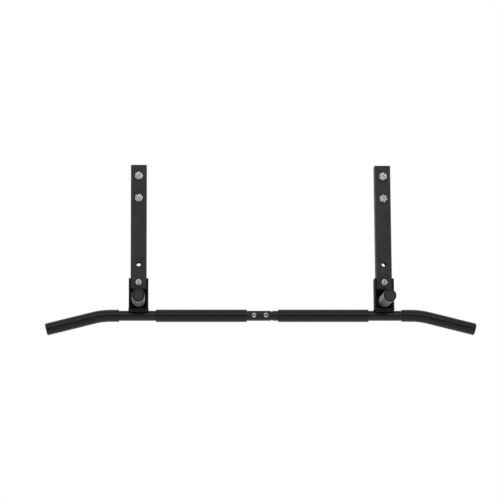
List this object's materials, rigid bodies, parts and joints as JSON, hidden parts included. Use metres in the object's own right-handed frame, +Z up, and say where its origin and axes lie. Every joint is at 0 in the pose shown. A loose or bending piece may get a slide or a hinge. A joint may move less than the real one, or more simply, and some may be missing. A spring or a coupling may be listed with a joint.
{
  "type": "pull up bar",
  "caption": "Beam-mounted pull-up bar: upright arms hang a foam-gripped bar with angled ends, and padded neutral-grip handles point forward.",
  "frame": {"origin": "centre of the four beam studs, on the plane of the arms' rear faces that bears on the beam", "axes": "+X along the bar to the right as the user faces it, +Y away from the user into the beam, +Z up"},
  "size_m": [1.0716, 0.207, 0.4257],
  "materials": {
    "black_paint": "fine-textured black powder coat",
    "bar_paint": "satin black powder coat",
    "weld_paint": "black powder coat over rippled weld beads",
    "zinc_plate": "bright zinc plate",
    "grip_foam": "fine closed-cell foam, matte black",
    "grip_vinyl": "satin black skin on foam",
    "cap_plastic": "moulded black plastic"
  },
  "bodies": {
    "root": {"left_arm": "black_paint", "right_arm": "black_paint", "left_arm_cap": "cap_plastic", "right_arm_cap": "cap_plastic", "beam_studs": "zinc_plate", "beam_washers": "zinc_plate", "beam_nuts": "zinc_plate", "left_bracket": "black_paint", "right_bracket": "black_paint", "left_bracket_base": "black_paint", "right_bracket_base": "black_paint", "left_bracket_welds": "weld_paint", "right_bracket_welds": "weld_paint", "bracket_bolts": "zinc_plate", "bracket_washers": "zinc_plate", "bracket_nuts": "zinc_plate", "left_bar_tube": "bar_paint", "right_bar_tube": "bar_paint", "joint_bolts": "zinc_plate", "joint_nuts": "zinc_plate", "left_centre_grip": "grip_foam", "right_centre_grip": "grip_foam", "left_end_grip": "grip_foam", "right_end_grip": "grip_foam", "left_bar_end_plug": "cap_plastic", "right_bar_end_plug": "cap_plastic", "left_handle_tube": "bar_paint", "right_handle_tube": "bar_paint", "left_handle_weld": "weld_paint", "right_handle_weld": "weld_paint", "left_handle_grip": "grip_vinyl", "right_handle_grip": "grip_vinyl", "left_handle_plug": "cap_plastic", "right_handle_plug": "cap_plastic"}
  },
  "joints": []
}
